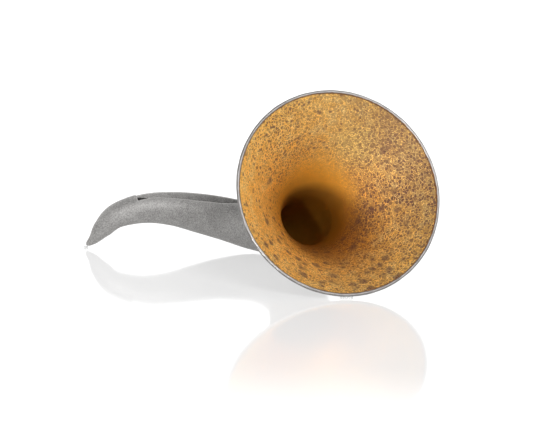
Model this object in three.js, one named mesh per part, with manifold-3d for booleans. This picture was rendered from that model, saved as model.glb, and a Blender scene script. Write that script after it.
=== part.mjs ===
// A horn loudspeaker for a phone, with no electrics. The phone stands in a slot in the back of a
// cast horn, and its sound runs down a duct inside the horn and out of a gilded bell.
//
// Millimetres, +Z up. +X runs from the tail to the bell, and the bell's mouth faces -Y.
// The origin is under the middle of the horn, on the surface that it stands on.

import * as THREE from 'three';
import { mergeVertices } from 'three/addons/utils/BufferGeometryUtils.js';
import Module from 'manifold-3d';

const wasm = await Module();
wasm.setup();

// ---------------------------------------------------------------- driving dimensions

const gap = 0.3;          // between two pieces that touch
const standHeight = 1.1;  // the lowest metal above the surface, on the feet

// Bell: a surface of revolution about an axis that is turned and tilted up.
const rimRadius = 72;
const throatRadius = 21;
const flareLength = 93;
const flarePower = 2;
const bellYaw = THREE.MathUtils.degToRad(16.5);
const bellTilt = THREE.MathUtils.degToRad(25);
const rimCentre = new THREE.Vector3(54.6, -45.7, 65.2);
const rimWall = 1.2;      // shell at the mouth
const liningWall = 0.6;   // lining at the mouth
const beadRadius = 1.3;
const bellSides = 48;

// Tail, slot body and elbow: round sections strung along a spine, each [x, y, z, radius].
const stations = [
  [-122, 40, 1.2, 1.2],
  [-116.5, 40.3, 6.5, 4.0],
  [-110.5, 41, 14.5, 7.0],
  [-100.5, 43, 24, 9.0],
  [-81, 49, 29.5, 11.0],
  [-61.5, 55.7, 29, 12.5],
  [-42, 62.3, 25.5, 14.5],
  [-22, 66.3, 21.5, 16.0],
  [-1.5, 62.7, 18.3, 17.5],
  [16.5, 51, 19.5, 19.0],
];
const collarStep = 20;    // from the flare's throat to the joint between elbow and bell
const ductWall = 2.4;
const linerWall = 1.0;
const linerTail = 6;      // how far the throat liner runs into the slot body
const linerReach = 12;    // and into the bell
const sealThickness = 0.8;
const barSides = 32;
const ringStep = 7;       // between the rings of a bar along the spine
const tailRingStep = 3;

// Joints, measured along the spine from the tail's tip.
const tailJoint = 30;     // between the tail and the slot body
const elbowJoint = 146;   // between the slot body and the elbow
const dowelRadius = 2;
const dowelLength = 16;
const screwRadius = 1.5;
const screwDistance = 25;
const screwSink = 1.5;    // the screw's socket below the tail's skin
const socketRadius = 0.9;

// Phone slot: a straight groove that leans back and slopes down towards the bell.
const slotFloor = new THREE.Vector3(-51.5, 54.5, 24);
const slotYaw = THREE.MathUtils.degToRad(15);
const slotSlope = THREE.MathUtils.degToRad(4);
const slotLean = THREE.MathUtils.degToRad(8);
const slotLength = 76;
const slotWidth = 12;
const lipHeight = 13;     // the front lip above the slot's floor
const floorWall = 2.4;    // metal between the slot and the duct
const endWall = 3;
const ductStart = 76;     // along the spine
const portLength = 30;
const portWidth = 6;
const portCentre = 20;    // along the slot, towards the bell
const padThickness = 1.2;
const frontPadHeight = 8;
const backPadHeight = 9;
const endPadHeight = 7;

// Feet
const tailFootRadius = 1.6;
const bellyFootRadius = 7;
const bellyFootPlace = new THREE.Vector2(14.5, 52.5);
const rimFootLength = 9;
const rimFootWidth = 2.8;
const thinFoot = standHeight - gap;

// ---------------------------------------------------------------- materials

const castMetal = new THREE.MeshStandardMaterial({ color: 0x8f8c88, roughness: 0.45, metalness: 0.9 });
const brightMetal = new THREE.MeshStandardMaterial({ color: 0xa9a7a6, roughness: 0.25, metalness: 1.0 });
const gilding = new THREE.MeshStandardMaterial({ color: 0xd69e3c, roughness: 0.4, metalness: 0.8 });
const steel = new THREE.MeshStandardMaterial({ color: 0x77777a, roughness: 0.35, metalness: 1.0 });
const felt = new THREE.MeshStandardMaterial({ color: 0x2b2927, roughness: 0.95, metalness: 0.0 });
const silicone = new THREE.MeshStandardMaterial({ color: 0xdcdddc, roughness: 0.3, metalness: 0.0 });
const rubber = new THREE.MeshStandardMaterial({ color: 0x1d1c1c, roughness: 0.8, metalness: 0.0 });

// ---------------------------------------------------------------- solids

// The manifold-3d solid of a closed geometry.
function solid(geometry) {
  const bare = new THREE.BufferGeometry();
  bare.setAttribute('position', geometry.getAttribute('position'));
  bare.setIndex(geometry.index);
  const merged = mergeVertices(bare, 1e-4);
  return new wasm.Manifold(new wasm.Mesh({
    numProp: 3,
    vertProperties: merged.attributes.position.array,
    triVerts: new Uint32Array(merged.index.array),
  }));
}

// The geometry of a manifold-3d solid.
function geometryOf(manifold) {
  const mesh = manifold.getMesh();
  const geometry = new THREE.BufferGeometry();
  geometry.setAttribute('position', new THREE.BufferAttribute(mesh.vertProperties, 3));
  geometry.setIndex(new THREE.BufferAttribute(mesh.triVerts, 1));
  geometry.computeVertexNormals();
  return geometry;
}

// A box that stands on its lowest face: x, y centre it, z is its bottom.
function standingBox(length, width, height, x = 0, y = 0, z = 0) {
  return new THREE.BoxGeometry(length, width, height).translate(x, y, z + height / 2);
}

// ---------------------------------------------------------------- spine

const bellAxis = new THREE.Vector3(
  Math.cos(bellTilt) * Math.sin(bellYaw),
  -Math.cos(bellTilt) * Math.cos(bellYaw),
  Math.sin(bellTilt),
);

// The bell's outer radius, from 0 at the throat to 1 at the mouth.
function flareRadius(t) {
  return throatRadius + (rimRadius - throatRadius) * t ** flarePower;
}

const alongBell = (distance) => rimCentre.clone().addScaledVector(bellAxis, distance - flareLength);
const bellStations = [0, collarStep, 2 * collarStep, 3 * collarStep];
const spine = new THREE.CatmullRomCurve3([
  ...stations.map(([x, y, z]) => new THREE.Vector3(x, y, z)),
  ...bellStations.map(alongBell),
], false, 'catmullrom');
spine.arcLengthDivisions = 800;
const girth = new THREE.CatmullRomCurve3([
  ...stations.map((station) => new THREE.Vector3(station[3], 0, 0)),
  ...bellStations.map((distance) => new THREE.Vector3(flareRadius(distance / flareLength), 0, 0)),
], false, 'catmullrom');
const bellJoint = spine.getLength() - 2 * collarStep;

// Point, radius and directions of the spine at a distance from the tail's tip.
function spineAt(distance) {
  const t = spine.getUtoTmapping(distance / spine.getLength());
  const tangent = spine.getTangent(t);
  const side = new THREE.Vector3(0, 0, 1).cross(tangent).normalize();
  const down = side.clone().cross(tangent);
  return { point: spine.getPoint(t), radius: girth.getPoint(t).x, tangent, side, down };
}

// A round bar along the spine, as thick as the horn less an inset all round. Its rings stand at
// whole steps along the spine, so bars of the same step nest without touching.
function spineBar(from, to, inset, step = ringStep) {
  const first = Math.floor(from / step) + 1;
  const last = Math.ceil(to / step) - 1;
  const rings = [from, ...Array.from({ length: last - first + 1 }, (_, i) => (first + i) * step), to];
  const bar = new THREE.CylinderGeometry(1, 1, 1, barSides, rings.length - 1);
  const position = bar.getAttribute('position');
  for (let i = 0; i < position.count; i++) {
    const at = spineAt(rings[Math.round((position.getY(i) + 0.5) * (rings.length - 1))]);
    const reach = at.radius - inset;
    const moved = at.point
      .addScaledVector(at.side, position.getX(i) * reach)
      .addScaledVector(at.down, position.getZ(i) * reach);
    position.setXYZ(i, moved.x, moved.y, moved.z);
  }
  return bar;
}

// A cylinder of the spine's own direction, centred at a distance along it.
function spinePin(radius, length, distance) {
  const at = spineAt(distance);
  const frame = new THREE.Matrix4().makeBasis(at.side, at.tangent, at.down).setPosition(at.point);
  return new THREE.CylinderGeometry(radius, radius, length, 16).applyMatrix4(frame);
}

// A cylinder that points down from the spine, from one depth to another.
function screwPin(radius, from, to, sides) {
  const at = spineAt(screwDistance);
  const frame = new THREE.Matrix4().makeBasis(at.side, at.down.clone().negate(), at.tangent);
  const middle = at.point.addScaledVector(at.down, (from + to) / 2);
  return new THREE.CylinderGeometry(radius, radius, to - from, sides)
    .applyMatrix4(frame.setPosition(middle));
}

// ---------------------------------------------------------------- frames of the bell and the slot

// The bell's frame has its origin at the middle of the mouth and +Y along the axis.
const bellFrame = new THREE.Group();
bellFrame.position.copy(rimCentre);
bellFrame.quaternion.setFromUnitVectors(new THREE.Vector3(0, 1, 0), bellAxis);
bellFrame.updateMatrix();

// The slot's frame has its origin in the middle of the floor, +X towards the bell and +Z up the phone.
const slotAlong = new THREE.Vector3(
  Math.cos(slotSlope) * Math.cos(slotYaw),
  Math.cos(slotSlope) * Math.sin(slotYaw),
  -Math.sin(slotSlope),
);
const slotFrame = new THREE.Group();
const slotUp = slotAlong.clone().cross(new THREE.Vector3(-Math.sin(slotYaw), Math.cos(slotYaw), 0))
  .applyAxisAngle(slotAlong, -slotLean);
const slotAcross = slotUp.clone().cross(slotAlong);
slotFrame.position.copy(slotFloor);
slotFrame.quaternion.setFromRotationMatrix(
  new THREE.Matrix4().makeBasis(slotAlong, slotAcross, slotUp),
);
slotFrame.updateMatrix();
const inSlot = (geometry) => solid(geometry.applyMatrix4(slotFrame.matrix));

// ---------------------------------------------------------------- castings

const jointHeight = collarStep - flareLength; // of the bell joint, in the bell's frame
const jointHalf = sealThickness / 2 + gap;    // from the joint's middle to either piece's face
const beyond = 60; // longer than any cut is deep

function slotBody() {
  const body = solid(spineBar(tailJoint + gap / 2, elbowJoint - gap / 2, 0));
  const cavity = solid(spineBar(ductStart, elbowJoint + gap, ductWall));
  const roof = inSlot(standingBox(slotLength + 2 * endWall, beyond, beyond, 0, 0, -floorWall));
  const groove = inSlot(standingBox(slotLength, slotWidth, beyond));
  const lip = inSlot(standingBox(slotLength, beyond, beyond, 0, -beyond / 2, lipHeight));
  const window = inSlot(standingBox(portLength, portWidth, beyond, portCentre, 0, -beyond / 2));
  const dowelHole = solid(spinePin(dowelRadius + gap, dowelLength + 2 * gap, tailJoint));
  const cuts = [cavity.subtract(roof), cavity.intersect(window), groove, lip, dowelHole];
  return geometryOf(cuts.reduce((left, cut) => left.subtract(cut), body));
}

function elbow() {
  const body = solid(spineBar(elbowJoint + gap / 2, bellJoint, 0));
  const duct = solid(spineBar(elbowJoint - gap, bellJoint + gap, ductWall));
  const bellSide = solid(
    new THREE.BoxGeometry(beyond, beyond, beyond)
      .translate(0, jointHeight - jointHalf + beyond / 2, 0)
      .applyMatrix4(bellFrame.matrix),
  );
  return geometryOf(body.subtract(duct).subtract(bellSide));
}

function tailLeg() {
  const body = solid(spineBar(0, tailJoint - gap / 2, 0, tailRingStep));
  const dowelHole = solid(spinePin(dowelRadius + gap, dowelLength + 2 * gap, tailJoint));
  const screwHole = solid(screwPin(screwRadius + gap, 0, beyond, 12));
  return geometryOf(body.subtract(dowelHole).subtract(screwHole));
}

function tailScrew() {
  const foot = dowelRadius + gap;
  const head = spineAt(screwDistance).radius - screwSink;
  const shank = solid(screwPin(screwRadius, foot, head, 12));
  const socket = solid(screwPin(socketRadius, (foot + head) / 2, head + 1, 6));
  return geometryOf(shank.subtract(socket));
}

function throatLiner() {
  const from = elbowJoint - linerTail;
  const to = bellJoint + linerReach;
  const outside = solid(spineBar(from, to, ductWall + gap));
  const inside = solid(spineBar(from - 1, to + 1, ductWall + gap + linerWall));
  return geometryOf(outside.subtract(inside));
}

// ---------------------------------------------------------------- bell

const jointT = collarStep / flareLength;
const liningT = (collarStep + linerReach + gap) / flareLength;
const mouthT = 0.984; // where shell and lining stop, just short of the bead

// A point of the bell's section, an inset inwards from the outer curve: x is radius, y is axial.
function flarePoint(t, inset) {
  const slope = (rimRadius - throatRadius) * flarePower * t ** (flarePower - 1) / flareLength;
  const length = Math.hypot(slope, 1);
  return new THREE.Vector2(
    flareRadius(t) - inset / length,
    flareLength * (t - 1) + inset * slope / length,
  );
}

const thinning = (t) => THREE.MathUtils.smoothstep(t, jointT, 0.7);
const shellWall = (t) => THREE.MathUtils.lerp(ductWall, rimWall, thinning(t));
const liningDepth = (t) => THREE.MathUtils.lerp(linerWall, liningWall, thinning(t));

// A row of section points between two places on the flare.
function flareRow(from, to, count, inset) {
  return Array.from({ length: count + 1 }, (_, i) => {
    const t = THREE.MathUtils.lerp(from, to, i / count);
    return flarePoint(t, inset(t));
  });
}

// A ring of revolution with the closed section given outside first, then inside.
function turned(outside, inside) {
  const profile = [...outside, ...inside.reverse()];
  profile.push(profile[0].clone());
  return new THREE.LatheGeometry(profile, bellSides);
}

function bellShell() {
  const outside = flareRow(jointT, mouthT, 11, () => 0);
  const inside = flareRow(jointT, mouthT, 10, shellWall);
  const face = jointHeight + jointHalf;
  outside[0].y = face;
  inside[0].y = face;
  return turned(outside, inside);
}

function bellLining() {
  const outside = flareRow(liningT, mouthT, 10, (t) => shellWall(t) + gap);
  const inside = flareRow(liningT, mouthT, 10, (t) => shellWall(t) + gap + liningDepth(t));
  return turned(outside, inside);
}

function rimBead() {
  const section = Array.from({ length: 9 }, (_, i) => {
    const angle = i / 8 * 2 * Math.PI;
    return new THREE.Vector2(
      rimRadius - beadRadius + beadRadius * Math.cos(angle),
      0.6 + beadRadius * Math.sin(angle),
    );
  });
  return new THREE.LatheGeometry(section, bellSides);
}

function jointSeal() {
  const outer = flareRadius(jointT) - 0.4;
  const inner = outer - 1.6;
  const low = -sealThickness / 2;
  const high = sealThickness / 2;
  return turned(
    [new THREE.Vector2(outer, low), new THREE.Vector2(outer, high)],
    [new THREE.Vector2(inner, low), new THREE.Vector2(inner, high)],
  ).translate(0, jointHeight, 0);
}

// ---------------------------------------------------------------- slot pads

function floorPad() {
  const strip = solid(standingBox(slotLength - 2 * gap, slotWidth - 2 * gap, padThickness, 0, 0, gap));
  const window = solid(standingBox(portLength, portWidth, beyond, portCentre, 0, -beyond / 2));
  return geometryOf(strip.subtract(window));
}

const padBottom = 2 * gap + padThickness;

function wallPad(side, height) {
  const length = slotLength - 2 * (2 * gap + padThickness);
  const y = side * (slotWidth / 2 - gap - padThickness / 2);
  return standingBox(length, padThickness, height, 0, y, padBottom);
}

function endPad(end) {
  const x = end * (slotLength / 2 - gap - padThickness / 2);
  const width = slotWidth - 2 * gap;
  return standingBox(padThickness, width, endPadHeight, x, 0, padBottom);
}

// ---------------------------------------------------------------- feet

function disc(radius, height) {
  return new THREE.CylinderGeometry(radius, radius, height, 24)
    .rotateX(Math.PI / 2)
    .translate(0, 0, height / 2);
}

// A flat strip with round ends, along X.
function roundedStrip(length, width, height) {
  const straight = length / 2 - width / 2;
  const outline = new THREE.Shape();
  outline.absarc(straight, 0, width / 2, -Math.PI / 2, Math.PI / 2, false);
  outline.absarc(-straight, 0, width / 2, Math.PI / 2, 1.5 * Math.PI, false);
  return new THREE.ExtrudeGeometry(outline, { depth: height, bevelEnabled: false, curveSegments: 6 });
}

// ---------------------------------------------------------------- assembly

const horn = new THREE.Group();
const metalwork = new THREE.Group();
metalwork.position.z = standHeight;
horn.add(metalwork);
metalwork.add(bellFrame, slotFrame);

function place(group, name, geometry, material) {
  const mesh = new THREE.Mesh(geometry, material);
  mesh.name = name;
  group.add(mesh);
  return mesh;
}

place(metalwork, 'slot_body', slotBody(), castMetal);
place(metalwork, 'elbow', elbow(), castMetal);
place(metalwork, 'tail_leg', tailLeg(), castMetal);
place(metalwork, 'tail_dowel', spinePin(dowelRadius, dowelLength, tailJoint), steel);
place(metalwork, 'tail_screw', tailScrew(), steel);
place(metalwork, 'throat_liner', throatLiner(), gilding);
place(bellFrame, 'bell_shell', bellShell(), castMetal);
place(bellFrame, 'bell_lining', bellLining(), gilding);
place(bellFrame, 'rim_bead', rimBead(), brightMetal);
place(bellFrame, 'joint_seal', jointSeal(), rubber);
place(slotFrame, 'slot_floor_pad', floorPad(), rubber);
place(slotFrame, 'slot_pad_front', wallPad(-1, frontPadHeight), felt);
place(slotFrame, 'slot_pad_back', wallPad(1, backPadHeight), felt);
place(slotFrame, 'slot_end_pad_left', endPad(-1), felt);
place(slotFrame, 'slot_end_pad_right', endPad(1), felt);

const tip = spine.getPoint(0);
const tailFoot = place(horn, 'tail_foot', disc(tailFootRadius, thinFoot), silicone);
tailFoot.position.set(tip.x, tip.y, 0);

const bellyFoot = place(horn, 'belly_foot', disc(bellyFootRadius, thinFoot), silicone);
bellyFoot.position.set(bellyFootPlace.x, bellyFootPlace.y, 0);

// The rim's lowest point lies straight down the mouth's own plane from its centre.
const downRim = new THREE.Vector3(0, 0, -1).addScaledVector(bellAxis, bellAxis.z).normalize();
const rimBottom = rimCentre.clone().addScaledVector(downRim, rimRadius - beadRadius);
const rimFoot = place(horn, 'rim_foot', roundedStrip(rimFootLength, rimFootWidth, thinFoot), silicone);
rimFoot.position.set(rimBottom.x, rimBottom.y, 0);
rimFoot.rotation.z = bellYaw;

export default horn;
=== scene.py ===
"""A horn loudspeaker for a phone, with no electrics: a grey cast horn with a slot for the phone in
its back, and a gilded bell. Fine pieces stand for the CAD nodes, on the same driving dimensions.
Lengths are in millimetres here, and become metres where a mesh or an object is made."""

import math
from itertools import product

import bpy
import numpy as np
from mathutils import Matrix, Vector


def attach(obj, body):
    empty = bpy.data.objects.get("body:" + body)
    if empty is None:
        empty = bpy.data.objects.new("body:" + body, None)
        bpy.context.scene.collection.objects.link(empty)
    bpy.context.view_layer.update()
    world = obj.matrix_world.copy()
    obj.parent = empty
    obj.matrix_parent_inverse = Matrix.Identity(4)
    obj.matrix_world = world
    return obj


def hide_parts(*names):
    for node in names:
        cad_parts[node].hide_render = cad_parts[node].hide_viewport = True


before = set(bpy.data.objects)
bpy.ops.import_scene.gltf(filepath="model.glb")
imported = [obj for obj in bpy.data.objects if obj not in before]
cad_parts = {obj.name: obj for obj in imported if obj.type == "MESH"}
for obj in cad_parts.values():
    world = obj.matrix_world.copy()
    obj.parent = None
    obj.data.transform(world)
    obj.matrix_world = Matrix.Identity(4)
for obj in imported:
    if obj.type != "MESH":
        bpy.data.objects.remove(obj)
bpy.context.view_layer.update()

MM = 0.001

# -------------------- driving dimensions, as in CAD

GAP = 0.3
STAND_HEIGHT = 1.1
LIFT = np.array([0.0, 0.0, STAND_HEIGHT])

RIM_RADIUS = 72.0
THROAT_RADIUS = 21.0
FLARE_LENGTH = 93.0
FLARE_POWER = 2.0
BELL_YAW = math.radians(16.5)
BELL_TILT = math.radians(25.0)
RIM_CENTRE = np.array([54.6, -45.7, 65.2]) + LIFT
RIM_WALL = 1.2
LINING_WALL = 0.6
BEAD_RADIUS = 1.3
BEAD_RISE = 0.6  # of the bead's middle out of the mouth's plane

STATIONS = np.array([  # x, y, z and radius along the horn
    [-122.0, 40.0, 1.2, 1.2],
    [-116.5, 40.3, 6.5, 4.0],
    [-110.5, 41.0, 14.5, 7.0],
    [-100.5, 43.0, 24.0, 9.0],
    [-81.0, 49.0, 29.5, 11.0],
    [-61.5, 55.7, 29.0, 12.5],
    [-42.0, 62.3, 25.5, 14.5],
    [-22.0, 66.3, 21.5, 16.0],
    [-1.5, 62.7, 18.3, 17.5],
    [16.5, 51.0, 19.5, 19.0],
])
COLLAR_STEP = 20.0
DUCT_WALL = 2.4
LINER_WALL = 1.0
LINER_TAIL = 6.0
LINER_REACH = 12.0
SEAL_THICKNESS = 0.8

TAIL_JOINT = 30.0
ELBOW_JOINT = 146.0
DOWEL_RADIUS = 2.0
DOWEL_LENGTH = 16.0
SCREW_RADIUS = 1.5
SCREW_DISTANCE = 25.0

SLOT_FLOOR = np.array([-51.5, 54.5, 24.0]) + LIFT
SLOT_YAW = math.radians(15.0)
SLOT_SLOPE = math.radians(4.0)
SLOT_LEAN = math.radians(8.0)
SLOT_LENGTH = 76.0
SLOT_WIDTH = 12.0
LIP_HEIGHT = 13.0
FLOOR_WALL = 2.4
END_WALL = 3.0
DUCT_START = 76.0
PORT_LENGTH = 30.0
PORT_WIDTH = 6.0
PORT_CENTRE = 20.0
PAD_THICKNESS = 1.2
FRONT_PAD_HEIGHT = 8.0
BACK_PAD_HEIGHT = 9.0
END_PAD_HEIGHT = 7.0

TAIL_FOOT_RADIUS = 1.6
BELLY_FOOT_RADIUS = 7.0
RIM_FOOT = (9.0, 2.8)  # length and width of a strip

# -------------------- sizes of the fine surface

NET_STEP = 0.5  # between the points of a cast surface
RUBBER_STEP = 0.4
FELT_STEP = 0.45
ROW_STEP = 1.2  # between the rings of a swept or turned piece
SWEEP_SIDES = 160
BELL_SIDES = 288
BEAD_SIDES = 28
FOOT_SIDES = 96
CORNER_STEPS = 6  # along a rounded corner of a section
SHARP_TURN = math.radians(40)

EDGE_ROUNDING = 0.9
TIP_ROUNDING = 2.2
SCREW_ROUNDING = 0.4
SLOT_ROUNDING = 1.5  # of the slot's upright corners
GROOVE_ROUNDING = 0.6  # where the slot's walls meet its floor
PORT_ROUNDING = 2.5
PAD_ROUNDING = 0.5
FELT_ROUNDING = 0.45
ELBOW_ROUNDING = (0.2, 0.4, 0.3, 0)  # of a section's corners, from the skin at its start
LINER_ROUNDING = (0, 0, 0, 0.3)
SEAL_ROUNDING = (0.35, 0.35, 0, 0)

RIB_HEIGHT = 0.12  # of the rubber's ribs, above and below their middle
RIB_PITCH = 1.6
FELT_DENT = 0.1
SEAL_INSET = 0.4
SEAL_WIDTH = 1.6
BEAD_WAVES = ((9, 0.05, 0.7, 0), (23, 0.04, 2.1, 0), (41, 0.03, 0.0, 1))  # see bead_surface

# -------------------- camera

CAMERA_PLACE = np.array([6.62, -1375.23, 291.9])
CAMERA_PITCH = math.radians(10.356)
CAMERA_ROLL = math.radians(3.34)
CAMERA_LENS = 135.1
CAMERA_SENSOR = 36.0

UP = np.array([0.0, 0.0, 1.0])

scene = bpy.context.scene


def unit(v):
    """v at length 1."""
    return v / np.linalg.norm(v)


def placement(x_axis, y_axis, z_axis, origin):
    """The matrix of an object with these axes, at an origin in millimetres."""
    rows = np.eye(4)
    rows[:3, 0], rows[:3, 1], rows[:3, 2], rows[:3, 3] = x_axis, y_axis, z_axis, origin * MM
    return Matrix(rows.tolist())


def make_camera():
    """A long lens in front of the horn and above it, with its right side slightly high."""
    forward = np.array([0.0, math.cos(CAMERA_PITCH), -math.sin(CAMERA_PITCH)])
    level_up = np.array([0.0, math.sin(CAMERA_PITCH), math.cos(CAMERA_PITCH)])
    level_right = np.array([1.0, 0.0, 0.0])
    right = math.cos(CAMERA_ROLL) * level_right + math.sin(CAMERA_ROLL) * level_up
    up = math.cos(CAMERA_ROLL) * level_up - math.sin(CAMERA_ROLL) * level_right
    data = bpy.data.cameras.new("camera")
    data.sensor_width = CAMERA_SENSOR
    data.lens = CAMERA_LENS
    camera = bpy.data.objects.new("camera", data)
    camera.matrix_world = placement(right, up, -forward, CAMERA_PLACE)
    scene.collection.objects.link(camera)
    scene.camera = camera


make_camera()

# -------------------- the horn's spine

BELL_AXIS = np.array([
    math.cos(BELL_TILT) * math.sin(BELL_YAW),
    -math.cos(BELL_TILT) * math.cos(BELL_YAW),
    math.sin(BELL_TILT),
])


def flare_radius(t):
    """The bell's outer radius, from 0 at the throat to 1 at the mouth."""
    return THROAT_RADIUS + (RIM_RADIUS - THROAT_RADIUS) * t**FLARE_POWER


def catmull_rom(points, t):
    """Places on the uniform Catmull-Rom curve through points, at parameters from 0 to 1."""
    padded = np.vstack([2 * points[0] - points[1], points, 2 * points[-1] - points[-2]])
    place = t * (len(points) - 1)
    first = np.minimum(place.astype(int), len(points) - 2)
    u = (place - first)[:, None]
    a, b, c, d = (padded[first + i] for i in range(4))
    return b + 0.5 * u * (c - a + u * (2 * a - 5 * b + 4 * c - d + u * (3 * b - a - 3 * c + d)))


SPINE_STEP = 0.1
SPINE_SAMPLES = 20001
SEARCH_STRIDE = 20     # rows of the spine's table between first guesses
SEARCH_CHUNK = 200000  # points searched at once


def spine_table():
    """The spine's points, radii, tangents and bending at every SPINE_STEP of its length."""
    bell = [
        np.append(RIM_CENTRE + BELL_AXIS * (d - FLARE_LENGTH), flare_radius(d / FLARE_LENGTH))
        for d in COLLAR_STEP * np.arange(4)
    ]
    controls = np.vstack([STATIONS + np.append(LIFT, 0.0), bell])
    t = np.linspace(0, 1, SPINE_SAMPLES)
    rough = catmull_rom(controls, t)
    steps = np.linalg.norm(np.diff(rough[:, :3], axis=0), axis=1)
    length = np.append(0, np.cumsum(steps))
    distance = np.arange(0, length[-1], SPINE_STEP)
    fine = catmull_rom(controls, np.interp(distance, length, t))
    tangent = np.gradient(fine[:, :3], SPINE_STEP, axis=0)
    tangent /= np.linalg.norm(tangent, axis=1)[:, None]
    bending = np.gradient(tangent, SPINE_STEP, axis=0)
    return np.hstack([fine, tangent, bending]), length[-1]


SPINE, SPINE_LENGTH = spine_table()
BELL_JOINT = SPINE_LENGTH - 2 * COLLAR_STEP


def spine_at(distance):
    """Points, radii, tangents and bending of the spine at distances from the tail's tip."""
    place = np.clip(distance / SPINE_STEP, 0, len(SPINE) - 1.001)
    first = place.astype(int)
    row = SPINE[first] + (SPINE[first + 1] - SPINE[first]) * (place - first)[:, None]
    return row[:, :3], row[:, 3], row[:, 4:7], row[:, 7:]


def section_of(points):
    """For each point, the distance along the spine of the section that it lies in, its distance
    from the spine, and the horn's radius there."""
    guesses = SPINE[::SEARCH_STRIDE, :3]
    nearest = np.empty(len(points), int)
    for start in range(0, len(points), SEARCH_CHUNK):
        part = points[start:start + SEARCH_CHUNK]
        apart = (part**2).sum(1)[:, None] - 2 * part @ guesses.T + (guesses**2).sum(1)
        nearest[start:start + SEARCH_CHUNK] = apart.argmin(1)
    distance = nearest * SEARCH_STRIDE * SPINE_STEP
    for _ in range(4):
        centre, _, tangent, bending = spine_at(distance)
        off = points - centre
        slope = np.maximum(1 - (off * bending).sum(1), 0.35)  # no less, so that steps stay short
        distance = np.clip(distance + (off * tangent).sum(1) / slope, -5, SPINE_LENGTH)
    centre, radius, tangent, _ = spine_at(distance)
    off = points - centre
    along = np.where(distance <= 0, (off * tangent).sum(1), distance)
    return along, np.linalg.norm(off, axis=1), radius


def section_frame(distance):
    """The centre and tangent of the spine at one distance along it."""
    centre, _, tangent, _ = (row[0] for row in spine_at(np.array([distance])))
    return centre, tangent


# -------------------- pieces


def add_piece(name, points, faces, recipe, replaced, at=None, normals=None, values=None):
    """A piece from points in millimetres in its own frame, riding on the body and standing for
    CAD nodes. recipe is a pair of material slot and material, at is the piece's own frame and
    values are numbers at each point, by name, that its material reads."""
    slot_name, material = recipe
    mesh = bpy.data.meshes.new(name)
    mesh.from_pydata((points * MM).tolist(), [], faces.tolist())
    mesh.shade_smooth()
    mesh.materials.append(material)
    for label, per_point in (values or {}).items():
        layer = mesh.attributes.new(label, "FLOAT", "POINT")
        layer.data.foreach_set("value", per_point.astype(np.float32))
    if normals is None:
        mesh.set_sharp_from_angle(angle=SHARP_TURN)
    else:
        mesh.normals_split_custom_set_from_vertices(normals.tolist())
    if at is not None:
        mesh.transform(at)
    piece = bpy.data.objects.new(name, mesh)
    scene.collection.objects.link(piece)
    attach(piece, "root")
    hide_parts(*replaced)
    return piece


def outward(points, faces):
    """The four-sided faces of a closed surface, turned so that they point out of it."""
    a, b, c, d = (points[faces[:, i]] for i in range(4))
    volume = (a * (np.cross(b, c) + np.cross(c, d))).sum()
    return faces if volume > 0 else faces[:, ::-1]


def ring_surface(rings):
    """Points and faces of a surface through rings of points, closed both ways round."""
    rows, sides = rings.shape[:2]
    i, j = np.meshgrid(np.arange(rows), np.arange(sides), indexing="ij")
    down, along = (i + 1) % rows, (j + 1) % sides
    faces = np.stack([i * sides + j, i * sides + along, down * sides + along, down * sides + j], -1)
    points = rings.reshape(-1, 3)
    return points, outward(points, faces.reshape(-1, 4))


def rounded(corners, radii):
    """A closed outline with its corners rounded, and points every ROW_STEP along its sides."""
    corners = [np.array(corner) for corner in corners]
    outline = []
    count = len(corners)
    for i, radius in enumerate(radii):
        here = corners[i]
        back, ahead = unit(corners[i - 1] - here), unit(corners[(i + 1) % count] - here)
        if radius == 0:
            outline.append(here)
            continue
        half = math.acos(np.clip(back @ ahead, -1, 1)) / 2
        middle = here + unit(back + ahead) * radius / math.sin(half)
        start = here + back * radius / math.tan(half) - middle
        end = here + ahead * radius / math.tan(half) - middle
        for step in range(CORNER_STEPS + 1):
            share = step / CORNER_STEPS
            outline.append(middle + unit(start * (1 - share) + end * share) * radius)
    filled = []
    for a, b in zip(outline, outline[1:] + outline[:1]):
        pieces = max(1, math.ceil(np.linalg.norm(b - a) / ROW_STEP))
        filled += [a + (b - a) * k / pieces for k in range(pieces)]
    return np.array(filled)


def swept(outline):
    """A surface round the spine from an outline of [distance along it, inset from the skin]."""
    centre, radius, tangent, _ = spine_at(outline[:, 0])
    side = np.cross(UP, tangent)
    side /= np.linalg.norm(side, axis=1)[:, None]
    down = np.cross(side, tangent)
    angle = np.linspace(0, 2 * math.pi, SWEEP_SIDES, endpoint=False)[:, None]
    reach = (radius - outline[:, 1])[:, None, None]
    ring = side[:, None] * np.cos(angle) + down[:, None] * np.sin(angle)
    return ring_surface(centre[:, None] + ring * reach)


def turned(outline):
    """A surface of revolution about Y from an outline of [radius, distance along Y]."""
    angle = np.linspace(0, 2 * math.pi, BELL_SIDES, endpoint=False)
    x = outline[:, :1] * np.cos(angle)
    z = outline[:, :1] * np.sin(angle)
    y = np.broadcast_to(outline[:, 1:], x.shape)
    return ring_surface(np.stack([x, y, z], -1))


# -------------------- cast surfaces

SLOPE_REACH = 0.02
BEND_REACH = 0.45
WORN_BEND = 0.35  # how sharply a surface turns where wear begins
WORN_SPAN = 1.2


def slope_of(field, points):
    """A field's gradient at points."""
    steps = SLOPE_REACH * np.eye(3)
    rises = [(field(points + step) - field(points - step)) / (2 * SLOPE_REACH) for step in steps]
    return np.stack(rises, -1)


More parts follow.
